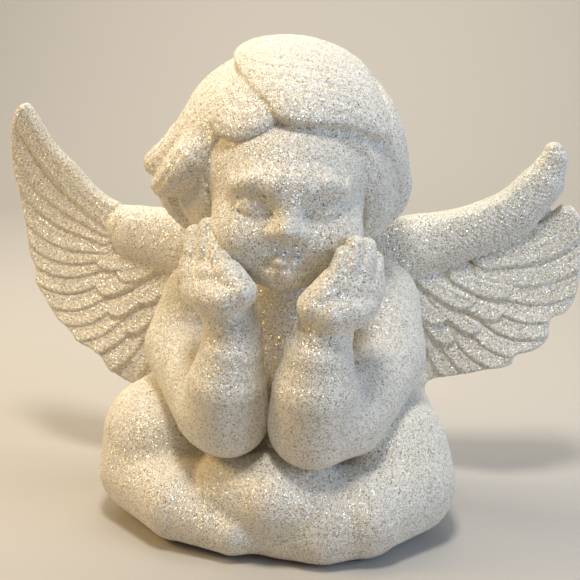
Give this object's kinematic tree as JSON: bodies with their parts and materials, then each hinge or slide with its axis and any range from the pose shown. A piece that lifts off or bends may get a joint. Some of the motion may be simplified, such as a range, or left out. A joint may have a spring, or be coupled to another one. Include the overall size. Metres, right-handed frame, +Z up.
{
  "type": "cherub figurine",
  "caption": "Seated winged cherub figurine, chin resting in both hands, cast in resin with a glitter coat, hollow body closed by a plate underneath.",
  "frame": {"origin": "on the resting plane, under the centre of the figurine's bounding box", "axes": "+Z up, -Y the way the figure faces, +X the figure's left (the right of someone who looks at its front)"},
  "size_m": [0.2974, 0.1444, 0.2296],
  "materials": {
    "glitter_resin": "cast resin, painted champagne cream, with an all-over coat of fine silver and pale gold glitter",
    "raw_resin": "bare cast resin, sanded flat",
    "wood_dowel": "plain birch dowel",
    "steel_pin": "cut wire rod",
    "rubber_plug": "moulded rubber",
    "felt": "self-adhesive green felt"
  },
  "bodies": {
    "root": {"body": "glitter_resin", "head": "glitter_resin", "arm_right": "glitter_resin", "arm_left": "glitter_resin", "wing_right": "glitter_resin", "wing_left": "glitter_resin", "neck_dowel": "wood_dowel", "shoulder_pin_right": "steel_pin", "shoulder_pin_left": "steel_pin", "elbow_pin_right": "steel_pin", "elbow_pin_left": "steel_pin", "wing_pin_right_upper": "steel_pin", "wing_pin_right_lower": "steel_pin", "wing_pin_left_upper": "steel_pin", "wing_pin_left_lower": "steel_pin", "base_plate": "raw_resin", "vent_plug": "rubber_plug", "felt_pad_right_knee": "felt", "felt_pad_left_knee": "felt", "felt_pad_right_rear": "felt", "felt_pad_left_rear": "felt"}
  },
  "joints": []
}
